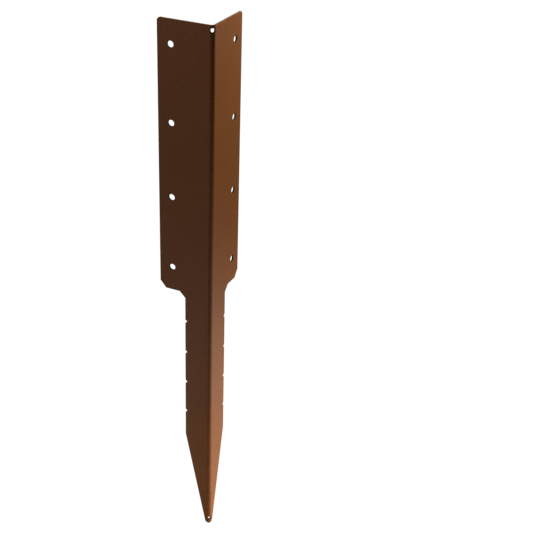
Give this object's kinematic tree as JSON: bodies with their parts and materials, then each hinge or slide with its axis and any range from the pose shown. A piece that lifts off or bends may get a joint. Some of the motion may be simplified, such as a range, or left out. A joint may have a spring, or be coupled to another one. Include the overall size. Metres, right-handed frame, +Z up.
{
  "type": "post anchor spike",
  "caption": "Angle of folded steel sheet: two drilled flanges hold the corner of a timber, and a notched, pointed leg below the shoulders is driven into the ground.",
  "frame": {"origin": "where the corner edge of the timber meets the ground: on the inside corner of the angle, level with the shoulders", "axes": "+Z up along the fold, +Y out of the front flange's inner face towards the timber, +X out of the side flange's outer face"},
  "size_m": [0.0772, 0.0772, 0.75],
  "materials": {
    "brown_powder_coat": "satin brown powder coat with a fine orange peel, on zinc-coated sheet steel"
  },
  "bodies": {
    "root": {"anchor_plate": "brown_powder_coat"}
  },
  "joints": []
}
